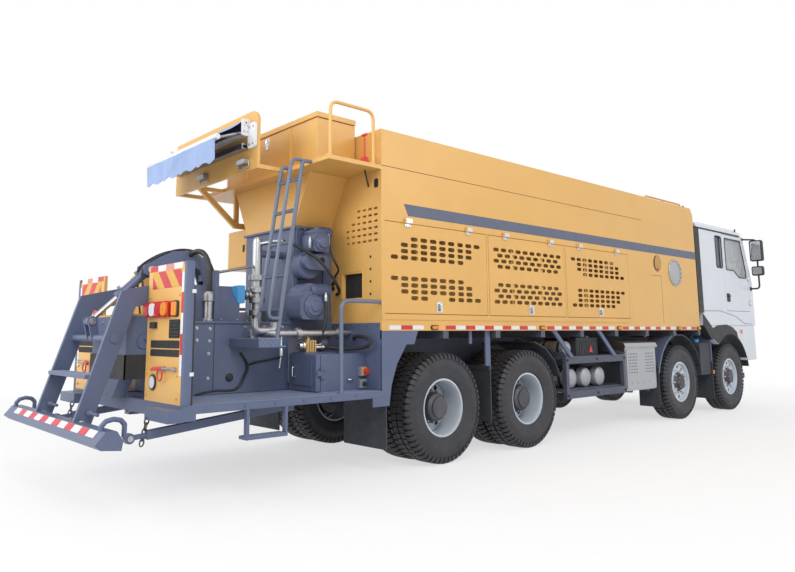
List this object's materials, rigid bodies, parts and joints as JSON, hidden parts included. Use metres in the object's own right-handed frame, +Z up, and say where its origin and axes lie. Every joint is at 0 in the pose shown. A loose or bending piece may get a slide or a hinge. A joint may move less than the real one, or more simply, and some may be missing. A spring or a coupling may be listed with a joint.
{
  "type": "slurry seal paving truck",
  "caption": "Four-axle road truck with a yellow aggregate body, a mixer and a rear working deck, for laying slurry seal and micro-surfacing.",
  "frame": {"origin": "on the ground under the middle of the truck's length and width", "axes": "+X forward, +Y to the left side, +Z up"},
  "size_m": [11.825, 3.06, 3.45],
  "materials": {
    "yellow_paint": "satin",
    "slate_paint": "satin",
    "frame_paint": "satin",
    "cab_white": "gloss",
    "black_plastic": "matte",
    "interior_plastic": "matte",
    "wheel_grey": "satin",
    "tyre_rubber": "matte",
    "cast_iron": "rough",
    "aluminium": "satin",
    "glass": "gloss",
    "awning_fabric": "matte",
    "lamp_red": "gloss",
    "chrome": "polished",
    "tube_paint": "satin"
  },
  "bodies": {
    "chassis": {"awning": "aluminium", "awning_cloth": "awning_fabric", "axles": "frame_paint", "body_shell": "yellow_paint", "cab_glass": "glass", "cab_interior": "interior_plastic", "cab_shell": "cab_white", "chassis_frame": "frame_paint", "engine": "cast_iron", "filler_bin": "yellow_paint", "front_bumper": "cab_white", "guard_rails": "yellow_paint", "hopper_slopes": "yellow_paint", "ladder": "tube_paint", "lamp_plates": "yellow_paint", "lamps": "lamp_red", "mirrors": "black_plastic", "mixer": "slate_paint", "mixer_drives": "slate_paint", "mudguards": "black_plastic", "process_pipes": "aluminium", "rear_deck": "slate_paint", "side_tanks": "aluminium", "upper_platform": "yellow_paint", "water_tank": "yellow_paint"},
    "knuckle_1_right": {"knuckle_1_right": "cast_iron"},
    "wheel_1_right": {"tyre_1_right": "tyre_rubber", "rim_1_right": "wheel_grey"},
    "knuckle_1_left": {"knuckle_1_left": "cast_iron"},
    "wheel_1_left": {"tyre_1_left": "tyre_rubber", "rim_1_left": "wheel_grey"},
    "knuckle_2_right": {"knuckle_2_right": "cast_iron"},
    "wheel_2_right": {"tyre_2_right": "tyre_rubber", "rim_2_right": "wheel_grey"},
    "knuckle_2_left": {"knuckle_2_left": "cast_iron"},
    "wheel_2_left": {"tyre_2_left": "tyre_rubber", "rim_2_left": "wheel_grey"},
    "wheel_3_right": {"tyre_3_right": "tyre_rubber", "rim_3_right": "wheel_grey"},
    "wheel_3_left": {"tyre_3_left": "tyre_rubber", "rim_3_left": "wheel_grey"},
    "wheel_4_right": {"tyre_4_right": "tyre_rubber", "rim_4_right": "wheel_grey"},
    "wheel_4_left": {"tyre_4_left": "tyre_rubber", "rim_4_left": "wheel_grey"},
    "cab_door_right": {"cab_door_right": "cab_white", "door_glass_right": "glass"},
    "hatch_1_right": {"hatch_1_right": "yellow_paint"},
    "hatch_2_right": {"hatch_2_right": "yellow_paint"},
    "hatch_3_right": {"hatch_3_right": "yellow_paint"},
    "cab_door_left": {"cab_door_left": "cab_white", "door_glass_left": "glass"},
    "hatch_1_left": {"hatch_1_left": "yellow_paint"},
    "hatch_2_left": {"hatch_2_left": "yellow_paint"},
    "hatch_3_left": {"hatch_3_left": "yellow_paint"},
    "bin_lid": {"bin_lid": "yellow_paint"},
    "cabinet_door": {"cabinet_door": "slate_paint"},
    "guard": {"guard": "slate_paint"},
    "cylinder_barrel": {"cylinder_barrel": "slate_paint"},
    "cylinder_rod": {"cylinder_rod": "chrome"}
  },
  "joints": [
    {"name": "steer_1_right", "type": "hinge", "parent": "chassis", "child": "knuckle_1_right", "pos_m": [4.5125, -0.86, 0.55], "axis": [0, 0, 1], "range_deg": [-35, 35]},
    {"name": "spin_1_right", "type": "hinge", "parent": "knuckle_1_right", "child": "wheel_1_right", "pos_m": [4.5125, -1.065, 0.55], "axis": [0, 1, 0], "continuous": true},
    {"name": "steer_1_left", "type": "hinge", "parent": "chassis", "child": "knuckle_1_left", "pos_m": [4.5125, 0.86, 0.55], "axis": [0, 0, 1], "range_deg": [-35, 35]},
    {"name": "spin_1_left", "type": "hinge", "parent": "knuckle_1_left", "child": "wheel_1_left", "pos_m": [4.5125, 1.065, 0.55], "axis": [0, 1, 0], "continuous": true},
    {"name": "steer_2_right", "type": "hinge", "parent": "chassis", "child": "knuckle_2_right", "pos_m": [2.7125, -0.86, 0.55], "axis": [0, 0, 1], "range_deg": [-25, 25]},
    {"name": "spin_2_right", "type": "hinge", "parent": "knuckle_2_right", "child": "wheel_2_right", "pos_m": [2.7125, -1.065, 0.55], "axis": [0, 1, 0], "continuous": true},
    {"name": "steer_2_left", "type": "hinge", "parent": "chassis", "child": "knuckle_2_left", "pos_m": [2.7125, 0.86, 0.55], "axis": [0, 0, 1], "range_deg": [-25, 25]},
    {"name": "spin_2_left", "type": "hinge", "parent": "knuckle_2_left", "child": "wheel_2_left", "pos_m": [2.7125, 1.065, 0.55], "axis": [0, 1, 0], "continuous": true},
    {"name": "spin_3_right", "type": "hinge", "parent": "chassis", "child": "wheel_3_right", "pos_m": [-1.0625, -0.89, 0.55], "axis": [0, 1, 0], "continuous": true},
    {"name": "spin_3_left", "type": "hinge", "parent": "chassis", "child": "wheel_3_left", "pos_m": [-1.0625, 0.89, 0.55], "axis": [0, 1, 0], "continuous": true},
    {"name": "spin_4_right", "type": "hinge", "parent": "chassis", "child": "wheel_4_right", "pos_m": [-2.4625, -0.89, 0.55], "axis": [0, 1, 0], "continuous": true},
    {"name": "spin_4_left", "type": "hinge", "parent": "chassis", "child": "wheel_4_left", "pos_m": [-2.4625, 0.89, 0.55], "axis": [0, 1, 0], "continuous": true},
    {"name": "cab_door_right_hinge", "type": "hinge", "parent": "chassis", "child": "cab_door_right", "pos_m": [5.4705, -1.262, 2.02], "axis": [0, 0, 1], "range_deg": [0, 65]},
    {"name": "hatch_1_right_hinge", "type": "hinge", "parent": "chassis", "child": "hatch_1_right", "pos_m": [-2.5675, -1.267, 2.368], "axis": [-1, 0, 0], "range_deg": [0, 80]},
    {"name": "hatch_2_right_hinge", "type": "hinge", "parent": "chassis", "child": "hatch_2_right", "pos_m": [-1.0575, -1.267, 2.368], "axis": [-1, 0, 0], "range_deg": [0, 80]},
    {"name": "hatch_3_right_hinge", "type": "hinge", "parent": "chassis", "child": "hatch_3_right", "pos_m": [0.4625, -1.267, 2.368], "axis": [-1, 0, 0], "range_deg": [0, 80]},
    {"name": "cab_door_left_hinge", "type": "hinge", "parent": "chassis", "child": "cab_door_left", "pos_m": [5.4705, 1.262, 2.02], "axis": [0, 0, -1], "range_deg": [0, 65]},
    {"name": "hatch_1_left_hinge", "type": "hinge", "parent": "chassis", "child": "hatch_1_left", "pos_m": [-2.5675, 1.267, 2.368], "axis": [1, 0, 0], "range_deg": [0, 80]},
    {"name": "hatch_2_left_hinge", "type": "hinge", "parent": "chassis", "child": "hatch_2_left", "pos_m": [-1.0575, 1.267, 2.368], "axis": [1, 0, 0], "range_deg": [0, 80]},
    {"name": "hatch_3_left_hinge", "type": "hinge", "parent": "chassis", "child": "hatch_3_left", "pos_m": [0.4625, 1.267, 2.368], "axis": [1, 0, 0], "range_deg": [0, 80]},
    {"name": "bin_lid_hinge", "type": "hinge", "parent": "chassis", "child": "bin_lid", "pos_m": [-3.3455, 0.02, 3.3825], "axis": [0, 1, 0], "range_deg": [0, 100]},
    {"name": "cabinet_door_hinge", "type": "hinge", "parent": "chassis", "child": "cabinet_door", "pos_m": [-3.8655, -1.007, 0.94], "axis": [0, 0, 1], "range_deg": [0, 85]},
    {"name": "guard_lift", "type": "hinge", "parent": "chassis", "child": "guard", "pos_m": [-5.0625, 0, 1.68], "axis": [0, 1, 0], "range_deg": [0, 80]},
    {"name": "cylinder_swing", "type": "hinge", "parent": "chassis", "child": "cylinder_barrel", "pos_m": [-5.0925, 0, 1.874], "axis": [0, 1, 0], "range_deg": [-1, 84.12]},
    {"name": "cylinder_stroke", "type": "slide", "parent": "cylinder_barrel", "child": "cylinder_rod", "axis": [-0.7247, 0, -0.6891], "range_m": [-0.25269, 0.002]}
  ],
  "couplings": [
    {"joint": "steer_1_left", "follows": "steer_1_right", "ratio": 1},
    {"joint": "steer_2_right", "follows": "steer_1_right", "ratio": 0.7},
    {"joint": "steer_2_left", "follows": "steer_1_right", "ratio": 0.7},
    {"joint": "cylinder_swing", "follows": "guard_lift", "ratio": 1.039},
    {"joint": "cylinder_stroke", "follows": "guard_lift", "m_per_rad": -0.17954}
  ]
}
